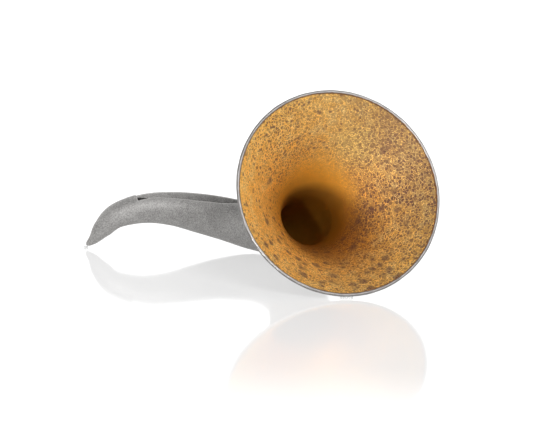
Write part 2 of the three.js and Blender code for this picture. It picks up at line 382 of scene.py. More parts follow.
def surface_net(field, low, high, step):
    """Points and faces where a field is zero, on a grid between two corners."""
    count = np.ceil((high - low) / step).astype(int) + 1
    grid = np.stack(np.meshgrid(*[np.arange(n) for n in count], indexing="ij"), -1)
    value = field((low + step * grid).reshape(-1, 3)).reshape(count)
    inside = value < 0
    held = sum(
        inside[a:count[0] - 1 + a, b:count[1] - 1 + b, c:count[2] - 1 + c].astype(int)
        for a, b, c in product((0, 1), repeat=3)
    )
    cells = np.argwhere((held > 0) & (held < 8))
    number = np.full(count - 1, -1)
    number[tuple(cells.T)] = np.arange(len(cells))
    total, hits = np.zeros((len(cells), 3)), np.zeros(len(cells))
    quads = []
    for axis in range(3):
        u, v = (axis + 1) % 3, (axis + 2) % 3
        for du, dv in product((0, 1), repeat=2):
            start = cells.copy()
            start[:, u] += du
            start[:, v] += dv
            end = start.copy()
            end[:, axis] += 1
            first, last = value[tuple(start.T)], value[tuple(end.T)]
            crossed = (first < 0) != (last < 0)
            share = np.where(crossed, first / np.where(crossed, first - last, 1), 0)
            place = start.astype(float)
            place[:, axis] += share
            total += place * crossed[:, None]
            hits += crossed
        moved = np.moveaxis(inside, (axis, u, v), (0, 1, 2))
        first, last = moved[:-1, 1:-1, 1:-1], moved[1:, 1:-1, 1:-1]
        at = np.argwhere(first != last)
        leaving = first[tuple(at.T)]
        cell_numbers = np.moveaxis(number, (axis, u, v), (0, 1, 2))
        ring = [cell_numbers[at[:, 0], at[:, 1] + du, at[:, 2] + dv]
                for du, dv in ((0, 0), (1, 0), (1, 1), (0, 1))]
        quad = np.stack(ring, -1)
        quads.append(np.where(leaving[:, None], quad, quad[:, ::-1]))
    return low + step * total / hits[:, None], np.vstack(quads)


def settle(field, points):
    """Points moved a short way onto a field's zero surface, and its normals there."""
    for _ in range(4):
        slope = slope_of(field, points)
        steep = np.maximum((slope**2).sum(1), 0.1)
        move = slope * (field(points) / steep)[:, None]
        points = points - np.clip(move, -NET_STEP / 2, NET_STEP / 2)
    slope = slope_of(field, points)
    return points, slope / np.linalg.norm(slope, axis=1)[:, None]


def skin_field(points):
    """Below zero inside the horn's outer shape, without the slot."""
    _, off_spine, radius = section_of(points)
    return off_spine - radius


def joint_offset(distance, points):
    """How far points lie past the joint at a distance along the spine, and its face's normal."""
    centre, tangent = section_frame(distance)
    return (points - centre) @ tangent, tangent


def cast_surface(field, low, high, to_world, joints):
    """Points, faces, normals and how sharply the surface turns, for a field in a local grid. The
    skin's edge at each joint, a distance along the spine, is sharp and lies exactly on it."""
    points, faces = surface_net(lambda p: field(to_world(p)), low, high, NET_STEP)
    points, normals = settle(field, to_world(points))
    around = sum(field(points + BEND_REACH * way * axis) for axis in np.eye(3) for way in (-1, 1))
    turn = (around - 6 * field(points)) / BEND_REACH**2
    band = 0.7 * NET_STEP
    for distance in joints:
        off, tangent = joint_offset(distance, points)
        near = (np.abs(off) < band) & (np.abs(skin_field(points)) < band)
        edge = points[near]
        for _ in range(3):
            edge, edge_normals = settle(skin_field, edge)
            edge = edge - joint_offset(distance, edge)[0][:, None] * tangent
        points[near], normals[near] = edge, edge_normals
        turn[np.abs(off) < 4 * NET_STEP] = 0
    return points, faces, normals, turn


def blend_max(a, b, width):
    """The larger of two fields, with the corner between them rounded."""
    near = np.maximum(width - np.abs(a - b), 0) / width
    return np.maximum(a, b) + near**2 * width / 4


SLOT_ALONG = np.array([
    math.cos(SLOT_SLOPE) * math.cos(SLOT_YAW),
    math.cos(SLOT_SLOPE) * math.sin(SLOT_YAW),
    -math.sin(SLOT_SLOPE),
])
LEANING = Matrix.Rotation(-SLOT_LEAN, 3, Vector(SLOT_ALONG))
LEVEL_ACROSS = np.array([-math.sin(SLOT_YAW), math.cos(SLOT_YAW), 0.0])
SLOT_UP = np.array(LEANING @ Vector(np.cross(SLOT_ALONG, LEVEL_ACROSS)))
SLOT_ACROSS = np.cross(SLOT_UP, SLOT_ALONG)
SLOT_AXES = np.stack([SLOT_ALONG, SLOT_ACROSS, SLOT_UP])
SLOT_PLACE = placement(SLOT_ALONG, SLOT_ACROSS, SLOT_UP, SLOT_FLOOR)


def same(points):
    """Points of the row's frame, as they are."""
    return points


def in_slot(points):
    """Points of the row's frame, in the slot's frame."""
    return (points - SLOT_FLOOR) @ SLOT_AXES.T


def from_slot(points):
    """Points of the slot's frame, in the row's frame."""
    return points @ SLOT_AXES + SLOT_FLOOR


def dowel_hole(points):
    """Below zero inside the hole for the tail's dowel, which lies along the spine."""
    centre, tangent = section_frame(TAIL_JOINT)
    off = points - centre
    along = off @ tangent
    across = np.linalg.norm(off - along[:, None] * tangent, axis=1)
    return np.maximum(across - (DOWEL_RADIUS + GAP), np.abs(along) - (DOWEL_LENGTH / 2 + GAP))


def screw_hole(points):
    """Below zero inside the hole for the tail's screw, which comes up from below to the spine."""
    centre, tangent = section_frame(SCREW_DISTANCE)
    down = np.cross(unit(np.cross(UP, tangent)), tangent)
    off = points - centre
    depth = off @ down
    across = np.linalg.norm(off - depth[:, None] * down, axis=1)
    return np.maximum(across - SCREW_RADIUS - GAP / 3, -depth)


def slot_body_field(points):
    """Below zero inside the metal of the slot body."""
    distance, off_spine, radius = section_of(points)
    x, y, z = in_slot(points).T
    skin = off_spine - radius
    duct = skin + DUCT_WALL
    ends = np.maximum(TAIL_JOINT - distance, distance - ELBOW_JOINT)
    roof = np.maximum(np.abs(x) - SLOT_LENGTH / 2 - END_WALL, -z - FLOOR_WALL)
    cavity = np.maximum(np.maximum(duct, DUCT_START - distance), -roof)
    port_x = np.abs(x - PORT_CENTRE) - PORT_LENGTH / 2
    port = np.maximum(duct, blend_max(port_x, np.abs(y) - PORT_WIDTH / 2, PORT_ROUNDING))
    walls = blend_max(np.abs(x) - SLOT_LENGTH / 2, np.abs(y) - SLOT_WIDTH / 2, SLOT_ROUNDING)
    groove = blend_max(walls, -z, GROOVE_ROUNDING)
    lip = np.maximum(np.maximum(np.abs(x) - SLOT_LENGTH / 2, y), LIP_HEIGHT - z)
    body = blend_max(skin, -groove, EDGE_ROUNDING)
    body = blend_max(body, -lip, EDGE_ROUNDING)
    body = blend_max(body, -np.minimum(cavity, port), EDGE_ROUNDING / 2)
    return np.maximum(np.maximum(body, ends), -dowel_hole(points))


def tail_field(points):
    """Below zero inside the metal of the tail leg."""
    distance, off_spine, radius = section_of(points)
    skin = blend_max(off_spine - radius, -distance, TIP_ROUNDING)
    body = blend_max(skin, -screw_hole(points), SCREW_ROUNDING)
    return np.maximum(np.maximum(body, distance - TAIL_JOINT), -dowel_hole(points))


def cad_points(node, to_local=same):
    """A CAD node's points in millimetres, in a local frame."""
    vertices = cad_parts[node].data.vertices
    flat = np.empty(len(vertices) * 3)
    vertices.foreach_get("co", flat)
    return to_local(flat.reshape(-1, 3) / MM)


def duct_skin(points):
    """1 at points on the wall of the sound duct or of the dowel's hole, and 0 elsewhere."""
    _, off_spine, radius = section_of(points)
    x, _, z = in_slot(points).T
    beside_slot = (z < -FLOOR_WALL / 2) | (np.abs(x) > SLOT_LENGTH / 2 + END_WALL / 2)
    return ((off_spine < radius - DUCT_WALL / 2) & beside_slot).astype(float)


def cast_piece(name, field, recipe, joints, to_local, to_world):
    """A cast piece whose metal is where a field is below zero, with its joints along the spine."""
    around = cad_points(name, to_local)
    margin = 2 * NET_STEP
    low, high = around.min(0) - margin, around.max(0) + margin
    points, faces, normals, turn = cast_surface(field, low, high, to_world, joints)
    worn = np.clip((turn - WORN_BEND) / WORN_SPAN, 0, 1)
    add_piece(name + "_fine", points, faces, recipe, [name], normals=normals,
              values={"worn": worn, "painted_duct_shade": duct_skin(points)})


# -------------------- bell

JOINT_DEPTH = FLARE_LENGTH - COLLAR_STEP  # behind the mouth
JOINT_T = COLLAR_STEP / FLARE_LENGTH
LINING_T = (COLLAR_STEP + LINER_REACH) / FLARE_LENGTH
THIN_T = 0.7      # where the bell's walls are at their thinnest
MOUTH_T = 0.9905  # where the shell and the lining go into the bead

# The bell's pieces have X to the right and Z up as seen from the front, and Y into the bell.
BELL_RIGHT = unit(np.cross(UP, BELL_AXIS))
BELL_IN = -BELL_AXIS
BELL_UP = np.cross(BELL_RIGHT, BELL_IN)
BELL_PLACE = placement(BELL_RIGHT, BELL_IN, BELL_UP, RIM_CENTRE)


def flare_point(t, inset):
    """[radius, Y] of points of the bell's section, an inset inwards from its outer curve."""
    slope = (RIM_RADIUS - THROAT_RADIUS) * FLARE_POWER * t**(FLARE_POWER - 1) / FLARE_LENGTH
    length = np.hypot(slope, 1)
    radius = flare_radius(t) - inset / length
    rise = FLARE_LENGTH * (t - 1) + inset * slope / length
    return np.stack([radius, -rise], -1)


def thinning(t):
    """From 0 at the bell's joint to 1 where its walls are thinnest, smoothly."""
    u = np.clip((t - JOINT_T) / (THIN_T - JOINT_T), 0, 1)
    return u * u * (3 - 2 * u)


def shell_wall(t):
    """How thick the grey shell is."""
    return DUCT_WALL + (RIM_WALL - DUCT_WALL) * thinning(t)


def lining_wall(t):
    """How thick the gilded lining is."""
    return LINER_WALL + (LINING_WALL - LINER_WALL) * thinning(t)


def lining_inset(t):
    """How far the lining's back is from the bell's outer curve."""
    return shell_wall(t) + GAP


def flare_outline(start, outer, inner):
    """The closed section of a skin of the bell between two insets, from a place to the mouth."""
    rows = round(FLARE_LENGTH * (MOUTH_T - start) * 1.5 / ROW_STEP)
    t = np.linspace(start, MOUTH_T, rows)
    return np.vstack([flare_point(t, outer(t)), flare_point(t, inner(t))[::-1]])


def bead_surface():
    """The rolled rim, made thinner in places by waves of a count round the bell, a height, a
    start and a twist round the bead."""
    angle = np.linspace(0, 2 * math.pi, BELL_SIDES * 2, endpoint=False)[:, None]
    around = np.linspace(0, 2 * math.pi, BEAD_SIDES, endpoint=False)[None, :]
    thickness = BEAD_RADIUS + sum(
        height * (np.sin(count * angle + start + twist * around) - 1)
        for count, height, start, twist in BEAD_WAVES
    )
    radius = RIM_RADIUS - BEAD_RADIUS + thickness * np.cos(around)
    rise = BEAD_RISE + thickness * np.sin(around)
    rings = np.stack([radius * np.cos(angle), -rise, radius * np.sin(angle)], -1)
    return ring_surface(rings)


# -------------------- pads and feet


def felt_block(size, centre):
    """A block of felt with rounded edges and a slightly dented surface."""
    half = np.array(size) / 2
    counts = [max(round(length / FELT_STEP), 3) for length in size]
    rng = np.random.default_rng(7)
    number, points, faces = {}, [], []

    def index(key):
        """The number of the grid point with this key, which is made when it is first asked for."""
        if key not in number:
            number[key] = len(points)
            points.append([2 * k / n - 1 for k, n in zip(key, counts)])
        return number[key]

    for axis in range(3):
        u, v = (axis + 1) % 3, (axis + 2) % 3
        for end in (0, counts[axis]):
            for i, j in product(range(counts[u]), range(counts[v])):
                ring = []
                for du, dv in ((0, 0), (1, 0), (1, 1), (0, 1)):
                    key = [0, 0, 0]
                    key[axis], key[u], key[v] = end, i + du, j + dv
                    ring.append(index(tuple(key)))
                faces.append(ring if end else ring[::-1])
    points = np.array(points) * half
    core = np.clip(points, -(half - FELT_ROUNDING), half - FELT_ROUNDING)
    off = points - core
    away = np.linalg.norm(off, axis=1)[:, None]
    out = off / np.maximum(away, 1e-9)
    points = core + out * np.minimum(away, FELT_ROUNDING)
    points += out * (rng.random((len(points), 1)) - 1) * FELT_DENT
    return points + np.array(centre), np.array(faces)


def add_felt_pad(name, size, x, y, recipe):
    """A felt pad on a wall of the slot, clear of the rubber strip on its floor."""
    centre = [x, y, 2 * GAP + PAD_THICKNESS + size[2] / 2]
    pad = add_piece(name + "_felt", *felt_block(size, centre), recipe, [name], SLOT_PLACE)


def floor_pad_field(points):
    """Below zero inside the rubber strip on the slot's floor."""
    x, y, z = points.T
    middle = GAP / 2 + PAD_THICKNESS / 2
    end, side = np.abs(x) - SLOT_LENGTH / 2 + GAP, np.abs(y) - SLOT_WIDTH / 2 + GAP
    ends = blend_max(end, side, SLOT_ROUNDING)
    strip = blend_max(ends, np.abs(z - middle) - PAD_THICKNESS / 2, PAD_ROUNDING)
    port_x = np.abs(x - PORT_CENTRE) - PORT_LENGTH / 2
    window = blend_max(port_x, np.abs(y) - PORT_WIDTH / 2, PORT_ROUNDING)
    ribs = RIB_HEIGHT * (1 + np.cos(2 * math.pi * y / RIB_PITCH) * (z > middle))
    return blend_max(strip + ribs, -window, PAD_ROUNDING)


def add_floor_pad(name, recipe):
    """A rubber strip with fine ribs along it and a window over the sound port."""
    half = np.array([SLOT_LENGTH / 2, SLOT_WIDTH / 2, 0])
    low = -half - 1
    high = half + np.array([1, 1, PAD_THICKNESS + 2])
    points, faces = surface_net(floor_pad_field, low, high, RUBBER_STEP)
    slope = slope_of(floor_pad_field, points)
    normals = slope / np.linalg.norm(slope, axis=1)[:, None]
    add_piece(name + "_rubber", points, faces, recipe, [name], SLOT_PLACE, normals=normals)


def metal_above(points):
    """Below zero inside the horn's outer shape or the bead."""
    _, off_spine, radius = section_of(points)
    local = (points - RIM_CENTRE) @ np.stack([BELL_RIGHT, BELL_IN, BELL_UP], -1)
    off = np.hypot(local[:, 0], local[:, 2]) - (RIM_RADIUS - BEAD_RADIUS)
    bead = np.hypot(off, local[:, 1] + BEAD_RISE) - BEAD_RADIUS
    return np.minimum(off_spine - radius, bead)


TAIL_FOOT_TOP, BELLY_FOOT_TOP, RIM_FOOT_TOP = 1.6, 2.2, 1.8  # heights that the feet stay under
FOOT_LOWEST = 0.3  # height of a foot's thinnest place
FOOT_LEVEL = 0.02  # between the heights tried, and left clear of the metal
FOOT_DROP = 0.25  # of a foot's top at its rounded edge
FOOT_SHOULDER = 0.9  # share of its half size where the rounding begins


def add_foot(name, outline, tallest, recipe):
    """A silicone foot that stands on the surface and fits the metal above it. outline gives its
    half size at an angle round it."""
    angle = np.linspace(0, 2 * math.pi, FOOT_SIDES, endpoint=False)
    around = cad_points(name)[:, :2]
    centre = around.min(0) / 2 + around.max(0) / 2
    shares = np.append(np.linspace(0.04, FOOT_SHOULDER, 14), [0.94, 0.97, 0.99, 1.0])
    across = centre + outline(angle)[None] * shares[:, None, None]
    height = np.zeros(across.shape[:2])
    flat = across.reshape(-1, 2)
    for level in np.arange(FOOT_LOWEST, tallest, FOOT_LEVEL):
        spot = np.column_stack([flat, np.full(len(flat), level)])
        clear = metal_above(spot).reshape(height.shape) > FOOT_LEVEL
        reached = height >= level - 1.05 * FOOT_LEVEL
        height = np.where(clear & reached | (level == FOOT_LOWEST), level, height)
    edge_drop = FOOT_DROP * np.maximum(shares - FOOT_SHOULDER, 0)[:, None] / (1 - FOOT_SHOULDER)
    top = np.dstack([across, height - edge_drop])
    base = np.dstack([across[::-1], np.broadcast_to(edge_drop[::-1] * 0.5, height.shape)])
    rings = np.concatenate([top, base])
    add_piece(name + "_clear", *ring_surface(rings), recipe, [name])


def round_outline(radius):
    """The outline of a disc."""
    return lambda angle: radius * np.stack([np.cos(angle), np.sin(angle)], -1)


def strip_outline(angle):
    """A flat strip with round ends, turned with the bell."""
    length, width = RIM_FOOT
    straight = length / 2 - width / 2
    x, y = np.cos(angle) * width / 2, np.sin(angle) * width / 2
    x += straight * np.clip(4 * np.cos(angle), -1, 1)
    turn = np.array([[math.cos(BELL_YAW), math.sin(BELL_YAW)],
                     [-math.sin(BELL_YAW), math.cos(BELL_YAW)]])
    return np.stack([x, y], -1) @ turn


# -------------------- materials


class Nodes:
    """A tree of nodes, which are made and linked by short calls."""

    def __init__(self, tree):
        self.tree = tree

    def node(self, kind, inputs=None, **settings):
        """A node with settings, and inputs by name or number: a socket, or a constant."""
        made = self.tree.nodes.new(kind)
        for label, value in settings.items():
            setattr(made, label, value)
        for label, value in (inputs or {}).items():
            self.feed(made.inputs[label], value)
        return made

    def feed(self, socket, value):
        """An input fed by another socket, or set to a constant."""
        if isinstance(value, bpy.types.NodeSocket):
            self.tree.links.new(value, socket)
        else:
            socket.default_value = value

    def math(self, operation, a, b):
        """The result of an operation on two numbers."""
        return self.node("ShaderNodeMath", {0: a, 1: b}, operation=operation).outputs[0]

    def vector(self, operation, inputs, output="Vector"):
        """The result of an operation on vectors."""
        return self.node("ShaderNodeVectorMath", inputs, operation=operation).outputs[output]

    def axes(self, vector):
        """The three parts of a vector."""
        return self.node("ShaderNodeSeparateXYZ", {0: vector}).outputs

    def ease(self, value, low, high, to_low=0.0, to_high=1.0):
        """A smooth step from to_low to to_high as value goes from low to high."""
        return self.node("ShaderNodeMapRange", {
            "Value": value, "From Min": low, "From Max": high, "To Min": to_low,
            "To Max": to_high}, interpolation_type="SMOOTHSTEP").outputs["Result"]


class Recipe(Nodes):
    """A material of nodes, placed in the row's frame or in the bell's. Its shader's constants are
    set on the shader itself."""

    def __init__(self, name, bell=False, **constants):
        self.material = bpy.data.materials.new(name)
        self.material.use_nodes = True
        super().__init__(self.material.node_tree)
        self.shader = self.tree.nodes["Principled BSDF"]
        self.place = self.node("ShaderNodeTexCoord").outputs["Object"]
        if bell:
            self.place = self.node("ShaderNodeMapping", {
                "Vector": self.place, "Location": BELL_PLACE.to_translation(),
                "Rotation": BELL_PLACE.to_euler()}, vector_type="TEXTURE").outputs[0]
        for label, value in constants.items():
            self.shader.inputs[label].default_value = value

    def drive(self, label, socket):
        """One of the shader's inputs, fed by a socket."""
        self.tree.links.new(socket, self.shader.inputs[label])

    def noise(self, size, detail=2.0, rough=0.5, distortion=0.0, output="Fac"):
        """Noise from 0 to 1 whose grains are about this many millimetres across."""
        return self.node("ShaderNodeTexNoise", {
            "Vector": self.place, "Scale": 1 / (size * MM), "Detail": detail,
            "Roughness": rough, "Distortion": distortion}).outputs[output]

    def cells(self, size, place, feature="F1"):
        """The outputs of cells round scattered points this many millimetres apart."""
        return self.node("ShaderNodeTexVoronoi", {
            "Vector": place, "Scale": 1 / (size * MM)}, feature=feature).outputs

    def attribute(self, name):
        """The values that a piece carries under a name."""
        return self.node("ShaderNodeAttribute", attribute_name=name).outputs["Fac"]

    def channels(self, colour):
        """The red, green and blue of a colour."""
        return self.node("ShaderNodeSeparateColor", {0: colour}).outputs

    def ramp(self, value, *stops):
        """A colour for a value from 0 to 1, through stops of (place, colour)."""
        made = self.node("ShaderNodeValToRGB", {"Fac": value})
        elements = made.color_ramp.elements
        elements[0].position, elements[1].position = stops[0][0], stops[-1][0]
        for place, _ in stops[1:-1]:
            elements.new(place)
        for element, (_, colour) in zip(elements, stops):
            element.color = (*colour, 1.0)
        return made.outputs["Color"]

    def mix(self, share, a, b, how="MIX"):
        """Colour a, going over to colour b as share goes from 0 to 1."""
        made = self.node("ShaderNodeMix", {0: share}, data_type="RGBA", blend_type=how)
        for label, colour in ((6, a), (7, b)):
            self.feed(made.inputs[label], (*colour, 1.0) if isinstance(colour, tuple) else colour)
        return made.outputs[2]

    def bump(self, height, depth):
        """The surface raised by height, a socket from 0 to 1, times depth in millimetres."""
        made = self.node("ShaderNodeBump", {
            "Height": height, "Distance": depth * MM, "Strength": 1.0})
        self.drive("Normal", made.outputs["Normal"])

    def finish(self, grain, smooth, rough, depth):
        """Roughness that goes from smooth to rough with a grain, and the grain's own relief."""
        self.drive("Roughness", self.ease(grain, 0.2, 0.8, smooth, rough))
        self.bump(grain, depth)


def cast_metal():
    """Satin warm grey metal with the fine even grain of a casting, a little brighter where its
    edges are worn, and nearly black with painted shade on the walls of the sound duct and the
    dowel's hole."""
    r = Recipe("cast_metal", Metallic=1.0)
    grain = r.noise(0.8, 2.0, 0.6)
    cloud = r.noise(7.0, 3.0, 0.55)
    tone = r.math("ADD", r.math("MULTIPLY", grain, 0.82), r.math("MULTIPLY", cloud, 0.18))
    colour = r.ramp(tone, (0.36, (0.29, 0.283, 0.276)), (0.5, (0.43, 0.421, 0.411)),
                    (0.64, (0.59, 0.58, 0.568)))
    colour = r.mix(r.math("MULTIPLY", r.attribute("worn"), 0.5), colour, (0.72, 0.71, 0.69))
    # painted shade: the walls of the sound duct and of the dowel's hole are nearly black
    duct_shade_colour = r.mix(grain, (0.03, 0.028, 0.026), (0.07, 0.066, 0.062))
    r.drive("Base Color", r.mix(r.attribute("painted_duct_shade"), colour, duct_shade_colour))
    r.finish(grain, 0.58, 0.72, 0.05)
    return "cast_metal", r.material


def bell_radius(r, x, z):
    """How far a place is from the bell's axis."""
    flat = r.node("ShaderNodeCombineXYZ", {0: x, 2: z}).outputs[0]
    return r.vector("LENGTH", {0: flat}, "Value")


def rim_metal():
    """Smoother warm grey metal, with a ragged brown line where the gilding ends on its inside."""
    r = Recipe("rim_metal", bell=True, Metallic=1.0)
    x, _, z = r.axes(r.place)
    streak = r.noise(5.0, 3.0, 0.6)
    ragged = r.math("MULTIPLY", r.noise(2.4, 3.0, 0.6), -1.3 * MM)
    lap = r.math("ADD", bell_radius(r, x, z), ragged)
    grey = r.ramp(streak, (0.3, (0.22, 0.207, 0.2)), (0.7, (0.33, 0.316, 0.307)))
    brown = r.mix(r.noise(1.5, 2.0), (0.16, 0.085, 0.055), (0.36, 0.20, 0.10))
    r.drive("Base Color", r.mix(r.ease(lap, 69.1 * MM, 69.4 * MM), brown, grey))
    r.finish(streak, 0.36, 0.48, 0.02)
    return "rim_metal", r.material


# Round the bell in eighths of a turn, from the left through the bottom: how full the net of dark
# cells is and how dark it is, soft blotches, scattered dots, fine mottling, and how dull and dark
# the gold is near the rim, partly real dullness and partly painted shade.
SPECKLES = (
    (0.15, 0.50, 0.20, 0.30, 0.36, 0.00),
    (0.30, 0.60, 1.00, 0.40, 0.42, 0.05),
    (0.60, 0.74, 0.95, 0.40, 0.50, 0.30),
    (0.78, 0.85, 0.90, 0.50, 0.42, 0.00),
    (1.00, 1.00, 0.50, 0.50, 0.66, 0.40),
    (1.00, 0.90, 0.25, 0.50, 0.78, 0.62),
    (0.85, 0.66, 0.10, 0.60, 0.60, 0.10),
    (0.45, 0.90, 0.12, 0.95, 0.38, 0.00),
)
CELL_SIZE = 2.2
DOT_SIZE = 3.2
BLOTCH_SIZE = 8.0
WORM_SIZE = 1.15
SMEAR_SIZE = 4.5
LEAF_SIZE = 6.0
PAINTED_SHEEN_PLACE = Vector((22, 23, 38))  # the middle of a painted sheen, a patch of paler gold, in the bell's frame
SHADE_RISE, SHADE_SIDE = 0.6, 0.28  # how far the painted shade in the throat leans downwards and to the right


def speckle_amounts(r, turn, first):
    """Three columns of SPECKLES, from the first of them, at a turn round the bell."""
    rows = SPECKLES + SPECKLES[:1]
    stops = [(i / len(SPECKLES), row[first:first + 3]) for i, row in enumerate(rows)]
    return r.channels(r.ramp(turn, *stops))


def shaken(r, size, reach):
    """The bell's frame, pushed about by noise with grains and reach of these sizes."""
    push = r.vector("SUBTRACT", {0: r.noise(size, output="Color"), 1: (0.5, 0.5, 0.5)})
    return r.vector("ADD", {0: r.place, 1: r.vector("SCALE", {0: push, "Scale": reach * MM})})


def scatter(r, size, place, share, least, most, soft):
    """Spots this many millimetres apart, on a share of their places, each of its own size."""
    cell = r.cells(size, place)
    kept, own, _ = r.channels(cell["Color"])
    reach = r.ease(own, 0.0, 1.0, least, most)
    spot = r.ease(r.math("SUBTRACT", reach, cell["Distance"]), -soft, soft)
    return r.math("MULTIPLY", spot, r.math("LESS_THAN", kept, share))


def darkest(r, first, *others):
    """The largest of several amounts, each a pair of a socket and its strength."""
    total = r.math("MULTIPLY", *first)
    for other in others:
        total = r.math("MAXIMUM", total, r.math("MULTIPLY", *other))
    return total


def speckles(r, full, dent, blotches, dots, mottled):
    """How dark the speckles are: a net of cells, dots, blotches, worm-like mottling and smears."""
    ragged, loose = shaken(r, 1.3, 1.1), shaken(r, 2.6, 3.6)
    edge = r.cells(CELL_SIZE, ragged, "DISTANCE_TO_EDGE")["Distance"]
    # each cell is dark to its own degree, and the gold lines between them widen as the net thins
    held = r.ease(r.cells(CELL_SIZE, ragged)["Color"], 0.1, 0.7, 0.65, 1.0)
    reach = r.math("SUBTRACT", edge, r.math("MULTIPLY", r.math("SUBTRACT", 1.0, full), 0.17))
    cells = r.math("MULTIPLY", r.math("MULTIPLY", r.ease(reach, 0.015, 0.085), held), dent)
    spots = scatter(r, DOT_SIZE, ragged, dots, 0.12, 0.38, 0.10)
    large = scatter(r, BLOTCH_SIZE, loose, blotches, 0.14, 0.42, 0.14)
    wormy = r.ease(r.noise(WORM_SIZE, 1.0, 0.5, distortion=1.0), 0.46, 0.55)
    worms = r.math("MULTIPLY", wormy, mottled)
    patchy = r.ease(wormy, 0.0, 1.0, 0.75, 1.0)
    smear = r.math("MULTIPLY", r.ease(r.noise(SMEAR_SIZE, 2.0, 0.6), 0.57, 0.66), blotches)
    return darkest(r, (cells, 1.0), (spots, 0.9), (large, patchy), (worms, 1.0), (smear, 0.75))


def gold_leaf(r, leaf, radius, painted_sheen, dullness_and_shade):
    """The gold's colour: redder in the throat (painted bounce light), paler on a painted sheen, and
    duller near the rim (partly real, partly painted shade).
    """
    gold = r.ramp(leaf, (0.32, (0.90, 0.50, 0.10)), (0.5, (1.0, 0.60, 0.15)),
                  (0.68, (1.0, 0.70, 0.24)))
    # painted bounce light: redder, more orange gold towards the throat
    bounce_glow_gold = r.mix(leaf, (0.84, 0.41, 0.045), (0.96, 0.50, 0.075))
    gold = r.mix(r.ease(radius, 26 * MM, 50 * MM), bounce_glow_gold, gold)
    # painted sheen: paler gold on a soft patch, where a highlight falls
    gold = r.mix(r.math("MULTIPLY", painted_sheen, 0.8), gold, (1.0, 0.71, 0.20))
    # duller, darker gold near the rim: partly real dullness, partly painted shade
    dull_and_shade = r.math("MULTIPLY", dullness_and_shade, r.ease(radius, 42 * MM, 62 * MM))
    return r.mix(dull_and_shade, gold, (0.54, 0.34, 0.095))


def throat_shade(r, x, depth, z):
    """Painted shade that darkens the gold, from none outside to its darkest in the throat."""
    leaning = r.math("SUBTRACT", depth, r.math("MULTIPLY", z, SHADE_RISE))
    leaning = r.math("ADD", leaning, r.math("MULTIPLY", x, SHADE_SIDE))
    return r.ramp(r.math("DIVIDE", leaning, 100 * MM), (0.46, (1.0, 1.0, 1.0)),
                  (0.60, (0.46, 0.41, 0.42)), (0.74, (0.35, 0.275, 0.18)))


def gilding():
    """Gilding with purple-brown speckles that change round the bell: scattered dots on the upper
    left, fine dense ones at the top, a close net of dark cells on the right and soft blotches at
    the bottom. Towards the throat it is darkened with painted shade and reddened with painted
    bounce light, and it carries a painted sheen."""
    r = Recipe("gilding", bell=True)
    x, depth, z = r.axes(r.place)
    radius = bell_radius(r, x, z)
    turn = r.math("ADD", r.math("DIVIDE", r.math("ARCTAN2", z, x), 2 * math.pi), 0.5)
    full, dent, blotches = speckle_amounts(r, turn, 0)
    dots, mottled, dullness_and_shade = speckle_amounts(r, turn, 3)
    marks = speckles(r, full, dent, blotches, dots, mottled)

    # the speckles stop short of the throat and of the tube behind it
    room = r.math("SUBTRACT", radius, r.math("MULTIPLY", z, 0.2))
    clear = r.math("MULTIPLY", r.ease(room, 18 * MM, 33 * MM),
                   r.ease(depth, 56 * MM, 72 * MM, 1.0, 0.0))
    # a ragged dark line where the gilding meets the bead
    fringe = r.math("ADD", radius, r.math("MULTIPLY", r.noise(1.8, 3.0, 0.6), 2.4 * MM))
    dark = darkest(r, (marks, clear), (r.ease(fringe, 70.2 * MM, 71.0 * MM), 0.7))

    leaf = r.noise(LEAF_SIZE, 4.0, 0.6)
    # painted sheen: a soft patch of paler, slightly rougher gold where a highlight falls
    apart = r.vector("DISTANCE", {0: r.place, 1: PAINTED_SHEEN_PLACE * MM}, "Value")
    painted_sheen = r.ease(apart, 4 * MM, 26 * MM, 1.0, 0.0)
    gold = gold_leaf(r, leaf, radius, painted_sheen, dullness_and_shade)
    patina = r.mix(r.noise(2.0, 2.0), (0.085, 0.038, 0.028), (0.17, 0.078, 0.048))
    throat_shade_tint = throat_shade(r, x, depth, z)
    # painted shade darkens the gold towards the throat
    r.drive("Base Color", r.mix(1.0, r.mix(dark, gold, patina), throat_shade_tint, "MULTIPLY"))
    r.drive("Metallic", r.math("SUBTRACT", 0.75, r.math("MULTIPLY", dark, 0.4)))
    smooth = r.math("ADD", r.ease(leaf, 0.2, 0.8, 0.36, 0.48), r.math("MULTIPLY", painted_sheen, 0.1))
    r.drive("Roughness", r.math("ADD", smooth, r.math("MULTIPLY", dark, 0.2)))
    r.bump(r.math("MULTIPLY", dark, -1.0), 0.06)
    return "gilding", r.material


def felt():
    """Dark grey felt: matted short fibres."""
    r = Recipe("felt", **{"Sheen Weight": 0.35, "Sheen Roughness": 0.6})
    fibres = r.noise(0.25, 4.0, 0.75, distortion=2.5)
    lumps = r.noise(1.1, 3.0, 0.6)
    colour = r.ramp(fibres, (0.3, (0.018, 0.017, 0.016)), (0.7, (0.075, 0.070, 0.066)))
    r.drive("Base Color", r.mix(lumps, colour, (0.04, 0.038, 0.036)))
    r.drive("Roughness", r.ease(lumps, 0.2, 0.8, 0.88, 1.0))
    r.bump(r.math("ADD", fibres, lumps), 0.12)
    return "felt", r.material


def rubber():
    """Matt black rubber with a fine moulded grain."""
    r = Recipe("rubber")
    grain = r.noise(0.3, 3.0, 0.6)
    dust = r.noise(3.0, 3.0, 0.6)
    r.drive("Base Color", r.mix(dust, (0.014, 0.014, 0.014), (0.035, 0.034, 0.033)))
    r.finish(grain, 0.55, 0.8, 0.04)
    return "rubber", r.material


def silicone():
    """Clear silicone, faintly milky."""
    r = Recipe("silicone", IOR=1.41, **{"Transmission Weight": 0.75})
    milk = r.noise(1.2, 3.0, 0.6)
    r.drive("Base Color", r.mix(milk, (0.86, 0.87, 0.87), (0.95, 0.95, 0.94)))
    r.finish(milk, 0.18, 0.34, 0.02)
    return "silicone", r.material


